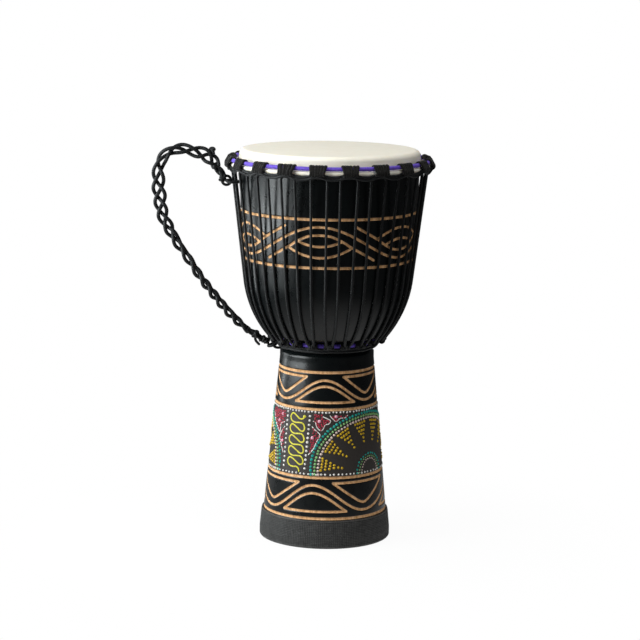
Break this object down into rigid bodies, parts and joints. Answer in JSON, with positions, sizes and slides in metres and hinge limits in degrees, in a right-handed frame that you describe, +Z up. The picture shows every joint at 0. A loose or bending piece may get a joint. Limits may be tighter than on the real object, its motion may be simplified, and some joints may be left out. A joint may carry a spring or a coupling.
{
  "type": "djembe drum",
  "caption": "Rope-tuned goblet hand drum: carved wooden shell, goatskin head, wrapped rings, rope lacing, braided carry handle and rubber foot.",
  "frame": {"origin": "centre of the rubber foot's underside, on the floor", "axes": "+Z up along the drum's axis to the head; -Y is the front; the carry handle is on the -X side"},
  "size_m": [0.4232, 0.3166, 0.6085],
  "materials": {
    "lacquered_wood": "black gloss lacquer over tan wood, carved lines left bare",
    "foot_rubber": "matte, fine woven texture",
    "goatskin": "shaved rawhide, satin",
    "ring_steel": "plain rod",
    "purple_cloth": "cotton strip wound round the ring",
    "black_rope": "braided polyester, slight sheen"
  },
  "bodies": {
    "drum": {"shell": "lacquered_wood", "rubber_foot": "foot_rubber", "drumhead": "goatskin", "flesh_ring": "ring_steel", "crown_ring": "ring_steel", "crown_ring_wrap": "purple_cloth", "bottom_ring": "ring_steel", "bottom_ring_wrap": "purple_cloth", "upper_run_rope_1": "black_rope", "upper_run_rope_2": "black_rope", "waist_rope_1": "black_rope", "waist_rope_2": "black_rope", "crown_hitches": "black_rope", "bottom_hitches": "black_rope", "tension_rope": "black_rope", "cradle_links": "black_rope", "handle_upper_lashing": "black_rope", "handle_lower_lashing": "black_rope"},
    "handle": {"handle_braid": "black_rope", "handle_upper_eye": "black_rope", "handle_lower_eye": "black_rope", "handle_upper_knot": "black_rope", "handle_lower_knot": "black_rope"}
  },
  "joints": [
    {"name": "handle_swing", "type": "hinge", "parent": "drum", "child": "handle", "pos_m": [-0.0824, -0.01632, 0.3], "axis": [-0.2747, -0.0544, 0.96], "range_deg": [-38, 38]}
  ]
}
